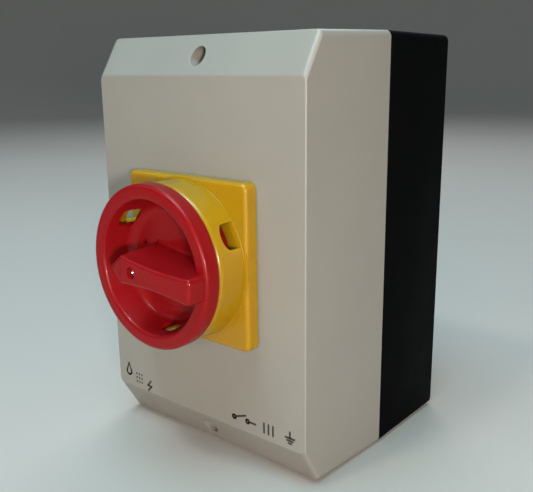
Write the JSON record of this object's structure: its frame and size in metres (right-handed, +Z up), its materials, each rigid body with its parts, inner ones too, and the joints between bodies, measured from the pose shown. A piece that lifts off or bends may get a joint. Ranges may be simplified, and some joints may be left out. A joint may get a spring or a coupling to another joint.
{
  "type": "rotary isolator switch",
  "caption": "Wall-mounted enclosed rotary isolator: grey chamfered cover on a black base, red padlockable knob on a yellow plate, stacked contact decks inside.",
  "frame": {"origin": "middle of the base box's rear face, which lies on the wall", "axes": "+Z up the wall, +X to the right seen from the front, +Y into the wall; the handle faces -Y and the knob turns about the Y axis"},
  "size_m": [0.1118, 0.133, 0.1716],
  "materials": {
    "grey_plastic": "light grey moulded ABS, fine satin",
    "black_plastic": "black moulded plastic, satin",
    "red_plastic": "red moulded plastic, semi-gloss",
    "yellow_plastic": "yellow moulded plastic, semi-gloss",
    "housing_plastic": "ivory thermoset moulding",
    "rotor_plastic": "dark grey glass-filled nylon",
    "rubber": "EPDM rubber",
    "steel": "zinc-plated steel",
    "brass": "turned brass",
    "copper": "copper alloy contact strip"
  },
  "bodies": {
    "base": {"base_box": "black_plastic", "foot_screw_1": "steel", "foot_screw_2": "steel", "tie_screw_1": "steel", "tie_screw_2": "steel", "upper_detent_spring": "steel", "lower_detent_spring": "steel", "earth_screw": "steel", "neutral_screw": "steel", "mounting_foot": "housing_plastic", "mechanism_housing": "housing_plastic", "mechanism_cover": "housing_plastic", "pole_1_housing": "housing_plastic", "pole_2_housing": "housing_plastic", "pole_3_housing": "housing_plastic", "upper_detent_plunger": "rotor_plastic", "lower_detent_plunger": "rotor_plastic", "line_1_terminal": "copper", "line_2_terminal": "copper", "line_3_terminal": "copper", "load_1_terminal": "copper", "load_2_terminal": "copper", "load_3_terminal": "copper", "line_1_screw": "steel", "line_2_screw": "steel", "line_3_screw": "steel", "load_1_screw": "steel", "load_2_screw": "steel", "load_3_screw": "steel", "earth_terminal": "brass", "neutral_terminal": "brass"},
    "cover": {"cover": "grey_plastic", "cover_seal": "rubber", "top_cover_screw": "steel", "bottom_cover_screw": "steel", "top_screw_washer": "steel", "bottom_screw_washer": "steel", "escutcheon": "yellow_plastic", "handle_gasket": "rubber", "shaft_seal": "rubber", "handle_screw_1": "steel", "handle_screw_2": "steel", "handle_screw_3": "steel", "handle_screw_4": "steel"},
    "rotor": {"shaft": "steel", "detent_wheel": "rotor_plastic", "pole_1_rotor": "rotor_plastic", "pole_2_rotor": "rotor_plastic", "pole_3_rotor": "rotor_plastic", "contact_bridge_1": "copper", "contact_bridge_2": "copper", "contact_bridge_3": "copper"},
    "knob": {"knob": "red_plastic", "knob_screw": "steel", "drive_sleeve": "rotor_plastic"}
  },
  "joints": [
    {"name": "cover_lift", "type": "slide", "parent": "base", "child": "cover", "axis": [0, -1, 0], "range_m": [0, 0.09]},
    {"name": "knob_turn", "type": "hinge", "parent": "cover", "child": "knob", "pos_m": [0, -0.11, 0], "axis": [0, 1, 0], "range_deg": [0, 90]},
    {"name": "rotor_turn", "type": "hinge", "parent": "base", "child": "rotor", "pos_m": [0, -0.05, 0], "axis": [0, 1, 0], "range_deg": [0, 90]}
  ],
  "couplings": [
    {"joint": "rotor_turn", "follows": "knob_turn", "ratio": 1}
  ]
}
